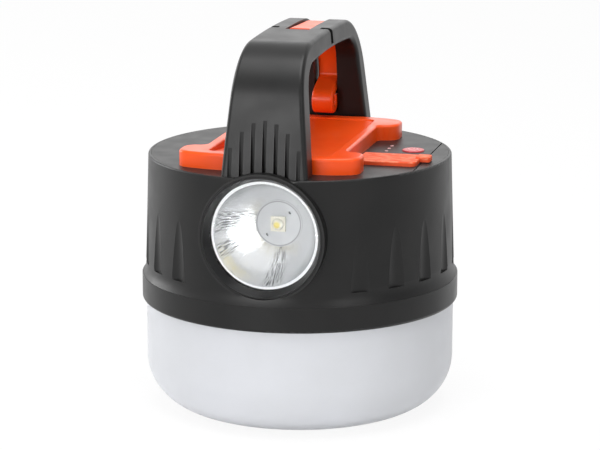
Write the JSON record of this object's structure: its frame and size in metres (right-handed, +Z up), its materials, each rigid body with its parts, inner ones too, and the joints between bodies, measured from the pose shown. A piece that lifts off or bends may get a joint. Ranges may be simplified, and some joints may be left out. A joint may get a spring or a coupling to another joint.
{
  "type": "camping lantern",
  "caption": "Rechargeable camping lantern: opal dome base, black drum with a side spotlight, arched handle with a fold-out hook, and a dished tray with sockets and button on the deck.",
  "frame": {"origin": "centre of the dome's flat base, on the table", "axes": "+Z up along the drum's axis, -Y the way the spotlight faces, +X towards the sockets and the button"},
  "size_m": [0.12, 0.12, 0.144],
  "materials": {
    "opal": "translucent satin",
    "seal": "matt",
    "ring_black": "fine moulded grain",
    "drum_black": "fine moulded grain",
    "deck_black": "fine moulded grain",
    "handle_black": "satin",
    "bezel_black": "satin",
    "orange_plastic": "satin",
    "orange_rubber": "matt",
    "button_red": "translucent",
    "window": "frosted",
    "clear_lens": "polished",
    "chrome_cup": "polished",
    "white_board": "satin",
    "phosphor": "glossy",
    "sink_metal": "plain",
    "cell_wrap": "shrink wrap over a can",
    "cradle_plastic": "plain",
    "nickel": "plain",
    "pcb": "lacquered",
    "switch_black": "plain",
    "lead_skin": "plain",
    "steel": "plain"
  },
  "bodies": {
    "lantern": {"diffuser": "opal", "diffuser_gasket": "seal", "collar_ring": "ring_black", "body_shell": "drum_black", "top_deck": "deck_black", "handle": "handle_black", "spot_bezel": "bezel_black", "handle_tray": "orange_plastic", "usb_cover_root": "orange_rubber", "level_light_guide": "window", "spot_lens": "clear_lens", "spot_reflector": "chrome_cup", "spot_led_board": "white_board", "led_board": "white_board", "spot_led": "phosphor", "led_chips": "phosphor", "level_leds": "phosphor", "spot_heatsink": "sink_metal", "battery_cell_front": "cell_wrap", "battery_cell_rear": "cell_wrap", "battery_cradle": "cradle_plastic", "battery_tabs": "nickel", "usb_a_socket": "nickel", "charge_socket": "nickel", "main_board": "pcb", "power_switch": "switch_black", "battery_leads": "lead_skin", "led_leads": "lead_skin", "spot_lead": "lead_skin", "hook_pin": "steel", "deck_screws": "steel", "handle_screws": "steel", "board_screws": "steel", "led_board_screws": "steel"},
    "hook": {"carry_hook": "orange_plastic"},
    "socket_cover": {"usb_cover": "orange_rubber"},
    "button": {"power_button": "button_red"}
  },
  "joints": [
    {"name": "hook_fold", "type": "hinge", "parent": "lantern", "child": "hook", "pos_m": [0, 0, 0.1401], "axis": [1, 0, 0], "range_deg": [0, 95]},
    {"name": "cover_lift", "type": "hinge", "parent": "lantern", "child": "socket_cover", "pos_m": [0.0265, -0.0125, 0.098], "axis": [0, -1, 0], "range_deg": [0, 95]},
    {"name": "button_press", "type": "slide", "parent": "lantern", "child": "button", "axis": [0, 0, -1], "range_m": [0, 0.0006], "stiffness_N_per_m": 1500}
  ]
}
